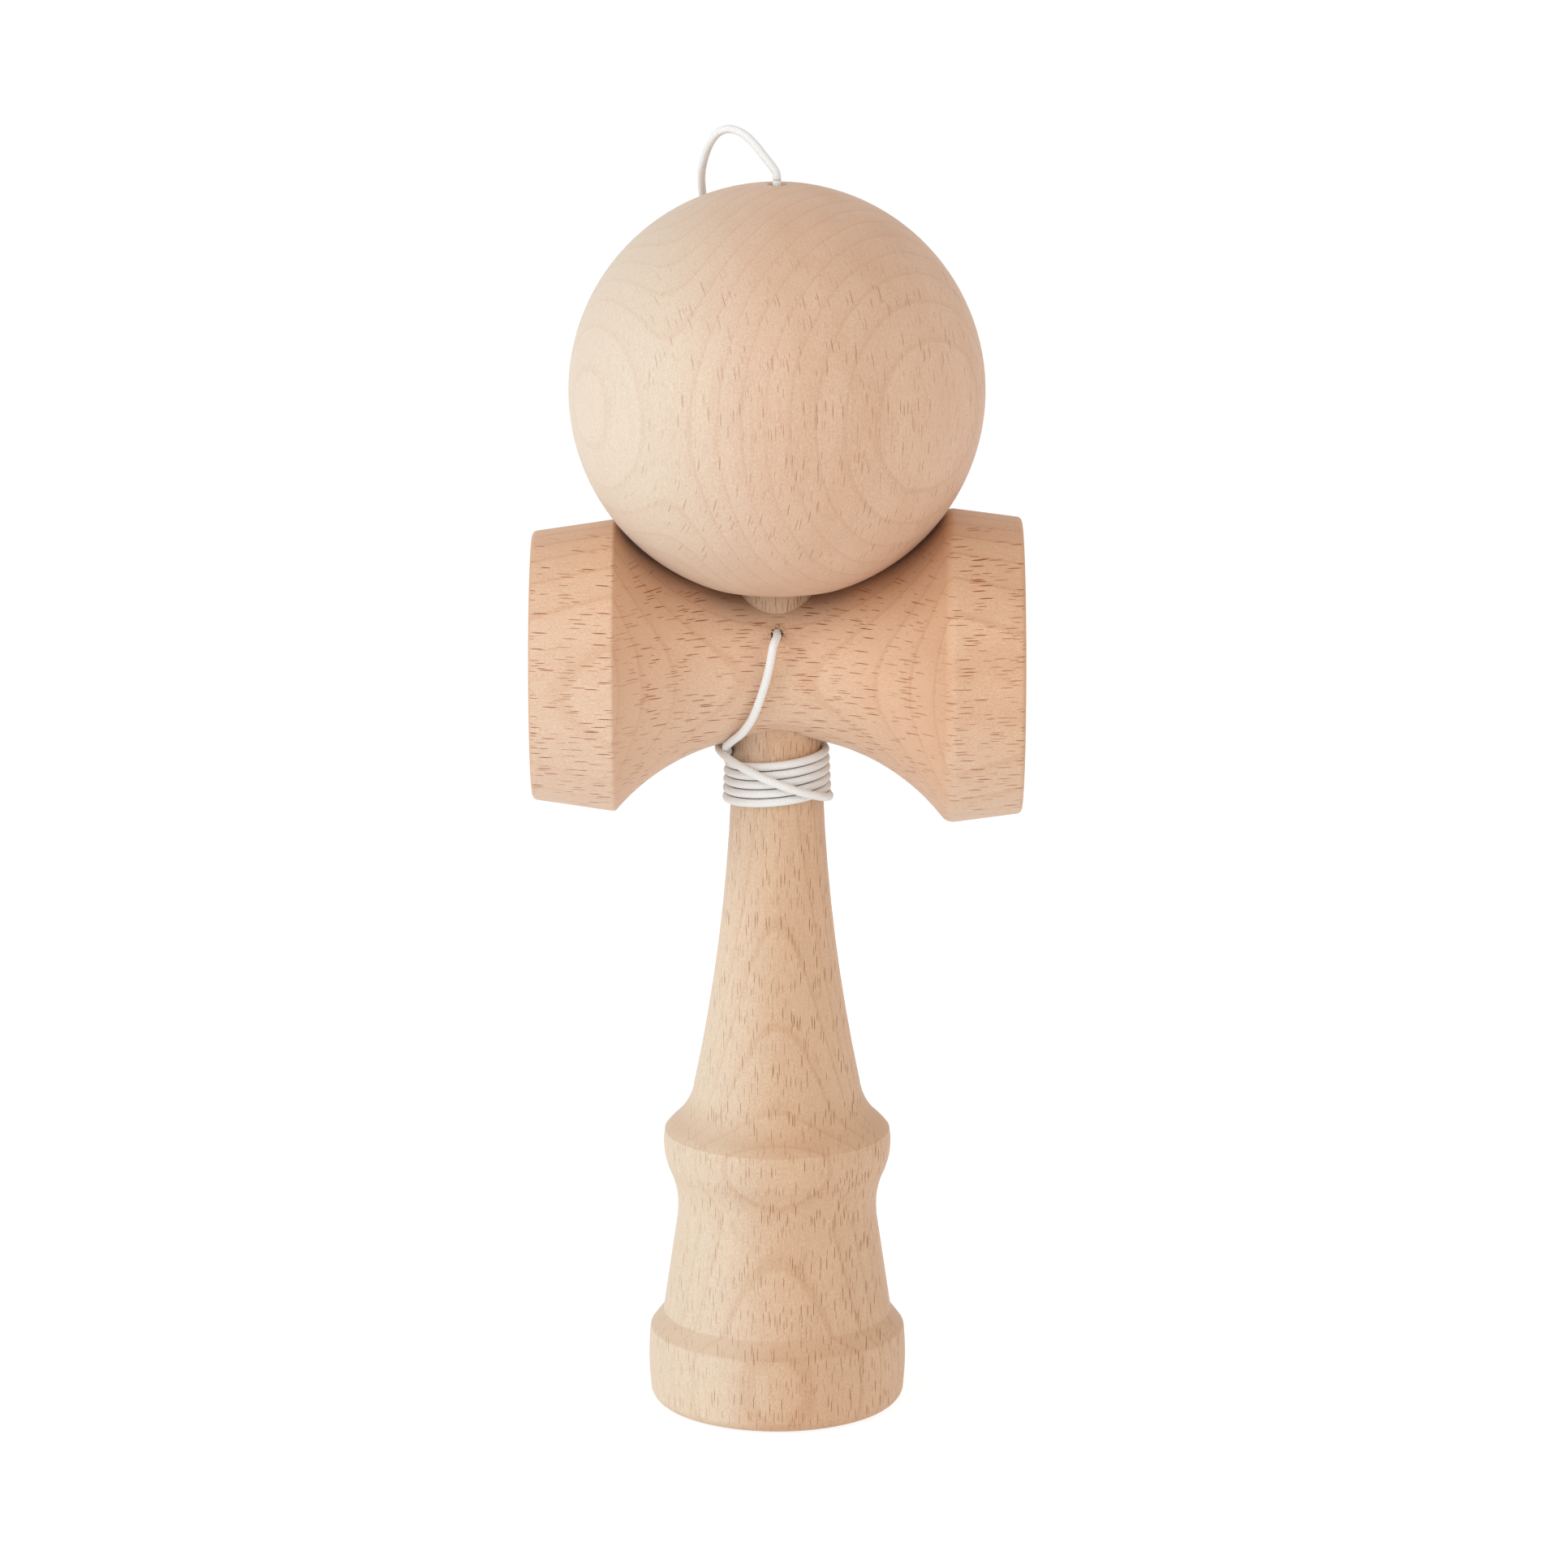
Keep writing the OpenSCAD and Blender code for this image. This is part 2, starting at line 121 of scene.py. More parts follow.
def wound(t):
    """Place of the string after t turns."""
    z = helix_z(t)
    if t > CROSSING_FROM:
        low = helix_z(CROSSING_FROM)
        z = low + (CROSSING_TOP - low) * (1 - math.cos(2 * math.pi * (t - CROSSING_FROM))) / 2
    r = taper_r(z) + ON_THE_WOOD + OVER_A_TURN * ease((t - CLIMB_FROM) / CLIMB_TURNS)
    a = math.pi * (1 - 2 * t)
    return (r * math.cos(a), r * math.sin(a), z)


winding = [wound(i / POINTS_PER_TURN) for i in range(1, TURNS * POINTS_PER_TURN + 1)]
print("points on the winding:", len(winding))

# %% [markdown]
# The points are too few for a smooth cord, so a curve is led through them and sampled every third of a
# millimetre. A curve whose knots are evenly spaced would swing out where points lie close together. Here they are
# spaced by the root of the distance between the points, which keeps the curve near its route.

# %% Smooth route
ROUTE_STEP = 0.35


def smooth_route(points):
    """Samples of the curve through all the points."""
    p = np.array(points, float)
    p = np.vstack([2 * p[0] - p[1], p, 2 * p[-1] - p[-2]])
    out = []
    for a, b, c, d in zip(p[:-3], p[1:-2], p[2:-1], p[3:]):
        ta = np.linalg.norm(b - a) ** 0.5
        tb = ta + np.linalg.norm(c - b) ** 0.5
        tc = tb + np.linalg.norm(d - c) ** 0.5
        n = max(2, int(round(np.linalg.norm(c - b) / ROUTE_STEP)))
        for t in np.linspace(ta, tb, n, endpoint=False):
            ab = a + (b - a) * t / ta
            bc = b + (c - b) * (t - ta) / (tb - ta)
            cd = c + (d - c) * (t - tb) / (tc - tb)
            abc = ab + (bc - ab) * t / tb
            bcd = bc + (cd - bc) * (t - ta) / (tc - ta)
            out.append(abc + (bcd - abc) * (t - ta) / (tb - ta))
    return np.array(out + [p[-2]])


route = smooth_route(front + winding + riser + loop)
print("samples of the route:", len(route))

# %% [markdown]
# A ring of vertices is set square to the route at each sample, and each ring is joined to the next. A ring is
# turned as little as possible from the last one, so the tube does not twist. The UV map runs round the tube and
# along it, in diameters, for the braid to follow.

# %% Tube along a route
TUBE_SIDES = 14


def tube(name, centre):
    heading = np.gradient(centre, axis=0)
    heading /= np.linalg.norm(heading, axis=1)[:, None]
    length = np.concatenate([[0], np.cumsum(np.linalg.norm(np.diff(centre, axis=0), axis=1))])
    u = np.array((1.0, 0.0, 0.0))
    verts = []
    for c, h in zip(centre, heading):
        u = u - h * (u @ h)
        u /= np.linalg.norm(u)
        v = np.cross(h, u)
        for k in range(TUBE_SIDES):
            a = 2 * math.pi * k / TUBE_SIDES
            verts.append(c + STRING_D / 2 * (math.cos(a) * u + math.sin(a) * v))
    quads = [((i, k), (i, k + 1), (i + 1, k + 1), (i + 1, k))
             for i in range(len(centre) - 1) for k in range(TUBE_SIDES)]
    faces = [tuple(ring * TUBE_SIDES + k % TUBE_SIDES for ring, k in quad) for quad in quads]
    last = (len(centre) - 1) * TUBE_SIDES
    caps = [tuple(range(TUBE_SIDES))[::-1], tuple(range(last, last + TUBE_SIDES))]
    mesh = bpy.data.meshes.new(name)
    mesh.from_pydata((np.array(verts) * MM).tolist(), [], faces + caps)
    uv = mesh.uv_layers.new(name="braid")
    for corner, (ring, k) in enumerate(corner for quad in quads for corner in quad):
        uv.data[corner].uv = (k / TUBE_SIDES, length[ring] / STRING_D)
    mesh.shade_smooth()
    piece = bpy.data.objects.new(name, mesh)
    bpy.context.scene.collection.objects.link(piece)
    print(name, "length in mm:", round(length[-1], 1), "faces:", len(mesh.polygons))
    return piece


string = tube("string", route)

# %% [markdown]
# The string's two ends go into the wood. One runs to a knot in the handle, the other to a knot under the bead
# in the ball. An overhand knot pulled tight is a lump of three crossing strands, and a tube along a small
# three-lobed curve gives that.

# %% Knotted ends
KNOT_POINTS = 40
KNOT_DEPTH = 0.6


def knot(centre, axis, size):
    n = Vector(axis).normalized()
    e = n.orthogonal().normalized()
    f = n.cross(e)
    points = []
    for i in range(KNOT_POINTS):
        t = 2 * math.pi * i / KNOT_POINTS
        p = (math.sin(t) + 2 * math.sin(2 * t)) * e + (math.cos(t) - 2 * math.cos(2 * t)) * f
        points.append(tuple(Vector(centre) + (p / 3 - math.sin(3 * t) * n * KNOT_DEPTH) * size))
    return points


knot_in_handle = knot(centre=(0, 2.6, 116.8), axis=(0, 1, 0), size=1.0)
knot_in_ball = knot(centre=(0, 0, 162.7), axis=(0, 0, -1), size=0.75)
handle_end = tube("string_end_in_handle",
                  smooth_route(knot_in_handle + [(0, 1.2, 116.8), (0, -3, 116.8), (0, -8.8, 116.8)]))
ball_end = tube("string_end_in_ball",
                smooth_route(knot_in_ball + [(0, 0, 164.2), (0, 0, 172), (0, 0, 180.82)]))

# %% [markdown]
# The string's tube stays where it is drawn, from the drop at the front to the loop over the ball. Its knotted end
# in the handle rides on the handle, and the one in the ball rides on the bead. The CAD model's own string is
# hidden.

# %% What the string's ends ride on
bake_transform(string)
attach(handle_end, "handle")
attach(ball_end, "bead")
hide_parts("string_front", "string_winding", "string_riser", "string_loop")
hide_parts("string_handle_end")
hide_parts("string_ball_end")

# %% [markdown]
# The backdrop is white. If it lit the toy as brightly as the eye sees it, the wood would wash out. So the floor
# and the world have two shaders each. The Light Path node says what kind of ray has come: the eye's rays get the
# bright one, also in a mirror or through glass, and the rays that light the toy get the other.

# %% Two shaders for one backdrop
EYE_RAYS = ("Is Camera Ray", "Is Glossy Ray", "Is Transmission Ray")


def node(tree, kind, **values):
    """A new node. A value goes to the node's own setting of that name, or else to its socket."""
    made = tree.nodes.new(kind)
    for key, value in values.items():
        if hasattr(made, key):
            setattr(made, key, value)
        else:
            made.inputs[key].default_value = value
    return made


def seen_by_eye(tree):
    """1 for the eye's rays, and 0 for all others."""
    path = node(tree, "ShaderNodeLightPath")
    seen = path.outputs[EYE_RAYS[0]]
    for kind in EYE_RAYS[1:]:
        either = node(tree, "ShaderNodeMath", operation="MAXIMUM")
        tree.links.new(seen, either.inputs[0])
        tree.links.new(path.outputs[kind], either.inputs[1])
        seen = either.outputs[0]
    return seen


def show_two(tree, output, others, seen):
    """One shader for the rays that light the toy, and another for what the eye sees."""
    choose = node(tree, "ShaderNodeMixShader")
    out = node(tree, output)
    tree.links.new(seen_by_eye(tree), choose.inputs[0])
    tree.links.new(others.outputs[0], choose.inputs[1])
    tree.links.new(seen.outputs[0], choose.inputs[2])
    tree.links.new(choose.outputs[0], out.inputs["Surface"])


print("the eye's rays:", EYE_RAYS)

# %% [markdown]
# The floor is a wide disc just under the base cup's rim. Its white glows a little, so it stays white far from the
# lights. What the eye sees of it still takes a faint shadow, and the toy gets plain light thrown back up.

# %% Floor
FLOOR_RADIUS, FLOOR_SEGMENTS = 6, 64
FLOOR_Z = -0.0002
BOUNCE_GREY, BOUNCE_GLOW = 0.88, 0.25
SEEN_GREY, SEEN_GLOW = 0.3, 0.84


def glowing_white(tree, grey, strength):
    """Plain diffuse white with some light of its own."""
    plain = node(tree, "ShaderNodeBsdfDiffuse", Color=(grey, grey, grey, 1))
    glow = node(tree, "ShaderNodeEmission", Strength=strength)
    together = node(tree, "ShaderNodeAddShader")
    tree.links.new(plain.outputs[0], together.inputs[0])
    tree.links.new(glow.outputs[0], together.inputs[1])
    return together


white = bpy.data.materials.new("white_floor")
white.use_nodes = True
tree = white.node_tree
tree.nodes.clear()
show_two(tree, "ShaderNodeOutputMaterial", glowing_white(tree, BOUNCE_GREY, BOUNCE_GLOW),
         glowing_white(tree, SEEN_GREY, SEEN_GLOW))

bm = bmesh.new()
bmesh.ops.create_circle(bm, cap_ends=True, segments=FLOOR_SEGMENTS, radius=FLOOR_RADIUS)
bmesh.ops.translate(bm, verts=bm.verts, vec=(0, 0, FLOOR_Z))
mesh = bpy.data.meshes.new("floor")
bm.to_mesh(mesh)
bm.free()
floor = bpy.data.objects.new("floor", mesh)
floor.data.materials.append(white)
bpy.context.scene.collection.objects.link(floor)
print("floor radius in m:", FLOOR_RADIUS)

# %% [markdown]
# The world is the room round the toy. The eye sees it pure white, and the toy gets a dimmer, slightly warm light
# from all sides, which softens every shadow. The Standard view shows white as white, where others would grey it.

# %% World
ROOM_COLOUR, ROOM_STRENGTH = (1, 0.975, 0.94, 1), 0.57
SEEN_COLOUR, SEEN_STRENGTH = (1, 1, 1, 1), 1

world = bpy.data.worlds.new("white_room")
world.use_nodes = True
bpy.context.scene.world = world
tree = world.node_tree
tree.nodes.clear()
show_two(tree, "ShaderNodeOutputWorld",
         node(tree, "ShaderNodeBackground", Color=ROOM_COLOUR, Strength=ROOM_STRENGTH),
         node(tree, "ShaderNodeBackground", Color=SEEN_COLOUR, Strength=SEEN_STRENGTH))
bpy.context.scene.view_settings.view_transform = "Standard"
print("strength of the room's light:", ROOM_STRENGTH)

# %% [markdown]
# Three wide soft lights stand round the toy. The strongest is cool and stands at the left, a little in front and
# above, as a window would, so the left of every turned form is lighter. A warmer one at the right keeps that side
# from going dull, and a faint one above the camera keeps the cups from going flat.

# %% Lights
AIM = Vector((0, 0, 0.1))


def softbox(name, place, size, watts, colour):
    light = bpy.data.objects.new(name, bpy.data.lights.new(name, "AREA"))
    light.data.shape = "DISK"
    light.data.size = size
    light.data.energy = watts
    light.data.color = colour
    light.location = place
    light.rotation_euler = (AIM - Vector(place)).to_track_quat("-Z", "Y").to_euler()
    bpy.context.scene.collection.objects.link(light)
    print(name, "light:", watts, "W")


softbox("window", (-1.25, -0.6, 0.65), size=1.2, watts=10.6, colour=(0.91, 1, 1.07))
softbox("front", (-0.3, -1.2, 1.1), size=0.9, watts=2.3, colour=(1, 1, 1))
softbox("fill", (1.1, -0.9, 0.7), size=0.9, watts=4.2, colour=(1, 0.97, 0.92))

# %% [markdown]
# A shader is worked out afresh at every point of a surface, by nodes that each do one small sum. These functions
# each make such a node, so that the finishes below read as recipes do. A value may be a number, a colour or
# another node's output.


# %% Sums
def feed(tree, socket, value):
    if isinstance(value, (int, float)):
        socket.default_value = value
    elif isinstance(value, tuple):
        socket.default_value = (*value, 1)
    else:
        tree.links.new(value, socket)


def math_node(tree, operation, *values):
    made = node(tree, "ShaderNodeMath", operation=operation)
    for socket, value in zip(made.inputs, values):
        feed(tree, socket, value)
    return made.outputs[0]


def plus(tree, a, b):
    return math_node(tree, "ADD", a, b)


def minus(tree, a, b):
    return math_node(tree, "SUBTRACT", a, b)


def times(tree, a, b):
    return math_node(tree, "MULTIPLY", a, b)


def over(tree, a, b):
    return math_node(tree, "DIVIDE", a, b)


def size_of(tree, a):
    return math_node(tree, "ABSOLUTE", a)


def length_of(tree, a, b):
    return math_node(tree, "SQRT", plus(tree, times(tree, a, a), times(tree, b, b)))


print("sums:", [helper.__name__ for helper in (plus, minus, times, over, size_of, length_of)])

# %% [markdown]
# A pattern is noise, whose cells are stretched by scaling the place that it is asked for. A ramp makes a mask or
# a colour of a pattern, and a mix lays one colour over another by a mask.


# %% Patterns, ramps and mixes
def stretched(tree, place, scale):
    """A point whose three parts are each multiplied by their own scale."""
    made = node(tree, "ShaderNodeCombineXYZ")
    for socket, value, factor in zip(made.inputs, place, scale):
        tree.links.new(times(tree, value, factor), socket)
    return made.outputs[0]


def noise(tree, place, detail, roughness):
    made = node(tree, "ShaderNodeTexNoise", Scale=1.0, Detail=detail, Roughness=roughness)
    tree.links.new(place, made.inputs["Vector"])
    return made.outputs["Fac"]


def ramp(tree, value, stops, mode="LINEAR"):
    made = node(tree, "ShaderNodeValToRGB")
    made.color_ramp.interpolation = mode
    while len(made.color_ramp.elements) < len(stops):
        made.color_ramp.elements.new(0.5)
    for element, (at, colour) in zip(made.color_ramp.elements, stops):
        element.position = at
        element.color = (*colour, 1) if isinstance(colour, tuple) else (colour, colour, colour, 1)
    tree.links.new(value, made.inputs[0])
    return made.outputs["Color"]


def mix(tree, share, a, b, blend="MIX"):
    made = node(tree, "ShaderNodeMix", data_type="RGBA", blend_type=blend)
    for socket, value in zip((made.inputs[0], made.inputs[6], made.inputs[7]), (share, a, b)):
        feed(tree, socket, value)
    return made.outputs[2]


def both(tree, a, b):
    """One mask kept only where the other one is."""
    return mix(tree, 1.0, a, b, "MULTIPLY")


print("patterns and mixes:", [helper.__name__ for helper in (stretched, noise, ramp, mix, both)])

# %% [markdown]
# The toy is bare beech. Its flecks, thousands of short dark dashes, are the cut ends of the wood's rays. A ray is
# a thin upright sheet that runs from the heart of the tree outwards. A flat pattern would smear at the sides of a
# turned form, so the flecks are made in three directions: along the grain, across it, and out from the heart.
# Each has its own cell of a pattern that is stretched along the grain, goes on for a while outwards as a ray does,
# and then stops.

# %% Flecks of beech
SCATTER = 0.85
DASH_FULL, DASH_GONE = 0.1, 0.17  # distance from the middle of its cell
FAINTEST, STRONG_FROM = 0.45, 0.8
RAYS_PER_MM, RAY_FADE = 0.22, 0.06
SMALL_FLECKS, SMALL_SHARE, SMALL_SEED = 1.45, 0.5, 37.3


def fleck_set(tree, place, scale, share, seed):
    across, along, outward = place
    cells = node(tree, "ShaderNodeTexVoronoi", voronoi_dimensions="2D", Scale=1.0, Randomness=SCATTER)
    spot = stretched(tree, (plus(tree, across, seed), along, 0.0), (*scale, 1))
    tree.links.new(spot, cells.inputs["Vector"])
    dash = ramp(tree, cells.outputs["Distance"], [(DASH_FULL, 1.0), (DASH_GONE, 0.0)], "EASE")
    pick = node(tree, "ShaderNodeSeparateColor")
    tree.links.new(cells.outputs["Color"], pick.inputs[0])
    reach = math_node(tree, "FRACT", plus(tree, pick.outputs[0], times(tree, outward, RAYS_PER_MM)))
    there = ramp(tree, reach, [(0.0, 0.0), (RAY_FADE, 1.0), (share - RAY_FADE, 1.0), (share, 0.0)])
    weight = ramp(tree, pick.outputs[1], [(0.0, FAINTEST), (STRONG_FROM, 1.0)])
    return both(tree, both(tree, dash, there), weight)


def flecks(tree, place, scale, share):
    """Large flecks, and fewer small ones between them."""
    small = tuple(SMALL_FLECKS * v for v in scale)
    return mix(tree, 1.0, fleck_set(tree, place, scale, share, 0.0),
               fleck_set(tree, place, small, share * SMALL_SHARE, SMALL_SEED), "LIGHTEN")


print("flecks come back every", round(1 / RAYS_PER_MM, 1), "mm outwards")

# %% [markdown]
# Each wooden piece was turned from its own blank, and its patterns are laid by the place in that blank: along the
# grain, across it, and outwards from the heart of the tree, in millimetres. Object coordinates give the place, so
# the wood goes with its piece when it moves. Where the surface faces along the grain it shows end grain.


# %% Places in the blank
def blank(name, axes):
    """A new material and what its patterns are laid by.
    axes(tree, xyz) gives the parts of a place or a direction along the grain, across it and outwards."""
    material = bpy.data.materials.new(name)
    material.use_nodes = True
    tree = material.node_tree
    source = node(tree, "ShaderNodeTexCoord")
    in_mm = node(tree, "ShaderNodeVectorMath", operation="SCALE", Scale=1 / MM)
    tree.links.new(source.outputs["Object"], in_mm.inputs[0])
    xyz = node(tree, "ShaderNodeSeparateXYZ")
    tree.links.new(in_mm.outputs[0], xyz.inputs[0])
    facing = node(tree, "ShaderNodeSeparateXYZ")
    tree.links.new(source.outputs["Normal"], facing.inputs[0])
    along, across, outward = axes(tree, xyz)
    return SimpleNamespace(material=material, tree=tree, point=in_mm.outputs[0], xyz=xyz, along=along,
                           across=across, outward=outward, end=size_of(tree, axes(tree, facing)[0]))


def grain(wood, scale, detail, roughness=0.5):
    """Noise. scale: its cells per millimetre across the grain, along it and outwards."""
    place = stretched(wood.tree, (wood.across, wood.along, wood.outward), scale)
    return noise(wood.tree, place, detail, roughness)


print("a millimetre in the object's units:", MM)

# %% [markdown]
# One side of each blank is made paler, and it comes in slowly. On the handle this is painted light from the window
# at the left, and on the ball it is partly paler sapwood and partly that painted light. A growth ring is pale
# early wood that ends in a dark line of late wood. The rings wander a little, and are faint on the pale side.

# %% Sapwood and growth rings
# From one ring's start to the next: pale early wood, then a dark line of late wood.
LATE_WOOD = [(0.0, 0.9), (0.04, 0.0), (0.5, 0.06), (0.86, 0.28), (0.94, 1.0), (1.0, 0.9)]
LATE_LOST_WHERE_PALE_LIT = 0.65
WANDER = (0.07, 0.03, 0.07)


def pale_side_mask(wood, direction, start, full):
    """0 where the pale side starts, and 1 where it is full, by the distance in a direction."""
    way = node(wood.tree, "ShaderNodeVectorMath", operation="DOT_PRODUCT")
    wood.tree.links.new(wood.point, way.inputs[0])
    way.inputs[1].default_value = direction
    return over(wood.tree, minus(wood.tree, way.outputs["Value"], start), full - start)


def growth_rings(wood, pale_lit, heart, width, shift, depth, sway):
    """heart(wood) gives the distance that the rings are counted in."""
    tree = wood.tree
    wander = minus(tree, grain(wood, WANDER, 2), 0.5)
    distance = plus(tree, heart(wood), times(tree, wander, sway))
    year = math_node(tree, "FRACT", plus(tree, over(tree, distance, width), shift))
    lost = ramp(tree, pale_lit, [(0.0, 0.0), (1.0, LATE_LOST_WHERE_PALE_LIT)])
    return times(tree, mix(tree, lost, ramp(tree, year, LATE_WOOD), (0.0, 0.0, 0.0)), depth)


print("share of a ring that is early wood:", LATE_WOOD[3][0])

# %% [markdown]
# The flecks are bent a little, as fibres are. They fade on end grain, on the pale side, where the painted light on
# the handle and ball washes them out, and where the surface runs along the rays, which there would show their
# broad sides.

# %% Flecks on a blank
BEND, BEND_HEIGHT = (0.35, 0.05, 0.35), 0.3
ALONG_RAYS, SQUARE_TO_RAYS = 0.12, 0.5
FLECKS_TO_END_GRAIN, END_GRAIN_WITHOUT = 0.62, 0.88


def flecks_on(wood, pale_lit, scale, share, on_pale_lit):
    tree = wood.tree
    bent = plus(tree, wood.across, times(tree, grain(wood, BEND, 1), BEND_HEIGHT))
    square = over(tree, size_of(tree, wood.outward), length_of(tree, wood.across, wood.outward))
    dashes = flecks(tree, (bent, wood.along, wood.outward), scale, share)
    dashes = both(tree, dashes, ramp(tree, square, [(ALONG_RAYS, 0.0), (SQUARE_TO_RAYS, 1.0)]))
    dashes = both(tree, dashes, ramp(tree, wood.end, [(FLECKS_TO_END_GRAIN, 1.0), (END_GRAIN_WITHOUT, 0.0)]))
    return both(tree, dashes, ramp(tree, pale_lit, [(0.0, 1.0), (1.0, on_pale_lit)]))


print("flecks are whole up to an end grain of", FLECKS_TO_END_GRAIN)

# %% [markdown]
# The colour is laid up from below: broad patches of two tones, the pale side (painted light on the handle and
# ball), the rings, fine streaks along the fibres, pores, the darker end grain, and the flecks on top. The sanded
# surface is dull, a little rougher on some streaks than on others, and the flecks lie a hair lower than the wood
# round them.

# %% Beech
PATCH, STREAK, PORE = (0.16, 0.03, 0.16), (3.6, 0.1, 3.6), (7.0, 2.4, 7.0)
STREAK_SHARE, STREAK_DARK, STREAK_LIGHT = 0.4, 0.4, 0.58
PORE_SHARE, PORE_DARK, PORE_LIGHT, PORE_HEIGHT = 0.55, 0.3, 0.67, 0.6
NOISE_LOW, NOISE_HIGH = 0.3, 0.7
END_GRAIN_FROM, END_GRAIN_FULL = 0.2, 0.9
LEAST_ROUGH, STREAK_ROUGH = 0.45, 0.2
SANDED = {"Specular IOR Level": 0.3, "Sheen Weight": 0.08, "Sheen Roughness": 0.4}


def shades(tree, pattern, low, high):
    return ramp(tree, pattern, [(NOISE_LOW, low), (NOISE_HIGH, high)])


def beech(name, axes, heart, tones, ring, fleck, fleck_strength, pale_lit, end_grain):
    """tones: pale, middle and warm wood, the pale side's tone (painted light on the handle and ball) and flecks.
    end_grain: share of the warm tone there. ring, fleck and pale_lit: values for growth_rings, flecks_on and
    pale_side_mask."""
    wood = blank(name, axes)
    tree = wood.tree
    pale, middle, warm, pale_lit_tone, fleck_tone = tones
    pale_lit_side = pale_side_mask(wood, **pale_lit)
    rings = growth_rings(wood, pale_lit_side, heart, **ring)
    dashes = flecks_on(wood, pale_lit_side, **fleck)
    streak = grain(wood, STREAK, 4, 0.6)
    pore = grain(wood, PORE, 3, 0.75)

    colour = mix(tree, shades(tree, grain(wood, PATCH, 2), 0.0, 1.0), pale, middle)
    # painted light: paler towards the given side, standing in for the window's light on the handle and on part of
    # the ball
    colour = mix(tree, ramp(tree, pale_lit_side, [(0.0, 0.0), (1.0, 1.0)], "EASE"), colour, pale_lit_tone)
    colour = mix(tree, rings, colour, warm)
    colour = mix(tree, STREAK_SHARE, colour, shades(tree, streak, STREAK_DARK, STREAK_LIGHT), "OVERLAY")
    colour = mix(tree, PORE_SHARE, colour, shades(tree, pore, PORE_DARK, PORE_LIGHT), "OVERLAY")
    colour = mix(tree, ramp(tree, wood.end, [(END_GRAIN_FROM, 0.0), (END_GRAIN_FULL, end_grain)]), colour, warm)
    colour = mix(tree, times(tree, dashes, fleck_strength), colour, fleck_tone)

    shader = tree.nodes["Principled BSDF"]
    tree.links.new(colour, shader.inputs["Base Color"])
    tree.links.new(plus(tree, times(tree, streak, STREAK_ROUGH), LEAST_ROUGH), shader.inputs["Roughness"])
    bump = node(tree, "ShaderNodeBump", Strength=0.2, Distance=0.05 * MM)
    tree.links.new(minus(tree, times(tree, pore, PORE_HEIGHT), dashes), bump.inputs["Height"])
    tree.links.new(bump.outputs[0], shader.inputs["Normal"])
    for key, value in SANDED.items():
        shader.inputs[key].default_value = value
    print(name, "nodes:", len(tree.nodes))
    return wood.material


def paint(name, material):
    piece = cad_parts[name]
    for slot in piece.material_slots:
        slot.material = material
    print(name, "gets", material.name, "on", len(piece.data.polygons), "faces")


print("cells per mm along the grain: streaks", STREAK[1], "pores", PORE[1])

# %% [markdown]
# The handle was turned with the grain along it, from a blank whose heart lies behind it. So its rings stand
# upright, and show as arches above and below the ridge, where the surface comes forward through them. The rings
# grow narrower outwards.

# %% Wood of the handle
HEART_DISTANCE = 90.0
FIRST_RING = 15.1
RINGS_PER_MM, RINGS_LOST_PER_MM = 0.337, 0.0125


def upright_axes(tree, xyz):
    return xyz.outputs["Z"], xyz.outputs["X"], times(tree, xyz.outputs["Y"], -1.0)


def from_heart(wood):
    return length_of(wood.tree, wood.across, plus(wood.tree, wood.outward, HEART_DISTANCE))


def handle_heart(wood):
    depth = minus(wood.tree, from_heart(wood), HEART_DISTANCE + FIRST_RING)
    return times(wood.tree, depth, minus(wood.tree, RINGS_PER_MM, times(wood.tree, depth, RINGS_LOST_PER_MM)))


# The pale side at the left is painted light: it stands in for the window's light falling there.
handle_beech = beech(
    "handle_beech", upright_axes, handle_heart,
    tones=((0.675, 0.455, 0.3), (0.63, 0.41, 0.26), (0.53, 0.30, 0.165),
           (0.70, 0.565, 0.425), (0.30, 0.12, 0.045)),
    ring=dict(width=1.0, shift=0.0, depth=0.44, sway=0.06),
    fleck=dict(scale=(2.4, 0.145), share=0.68, on_pale_lit=0.5), fleck_strength=1.0,
    pale_lit=dict(direction=(1, 0, 0), start=3.0, full=-11.0), end_grain=0.4)
paint("handle", handle_beech)

# %% [markdown]
# The crosspiece was turned with the grain along the two cups, from a pinker blank. Its flecks lie level, and it is
# paler underneath and a little to the left.

# %% Wood of the crosspiece
CROSSPIECE_Z = 110.4


def level_axes(tree, xyz):
    rise = minus(tree, xyz.outputs["Z"], CROSSPIECE_Z)
    return xyz.outputs["X"], rise, times(tree, xyz.outputs["Y"], -1.0)


def crosspiece_heart(wood):
    return minus(wood.tree, from_heart(wood), HEART_DISTANCE)


crosspiece_beech = beech(
    "crosspiece_beech", level_axes, crosspiece_heart,
    tones=((0.725, 0.467, 0.30), (0.672, 0.4, 0.246), (0.53, 0.26, 0.125),
           (0.735, 0.532, 0.39), (0.32, 0.085, 0.02)),
    ring=dict(width=3.1, shift=0.548, depth=0.4, sway=0.8),
    fleck=dict(scale=(2.0, 0.13), share=0.7, on_pale_lit=0.95), fleck_strength=1.0,
    pale_lit=dict(direction=(0.3, 0, 1), start=130.5, full=90.5), end_grain=0.42)
paint("cup_crosspiece", crosspiece_beech)

# %% [markdown]
# The drill has torn the wood at the string hole. Splinters stand round its mouth in three layers and close it in
# on the string. Each is a thin cone from the rim, and a few lean further out than the rest. The mouth is an oval,
# because the surface slants there.

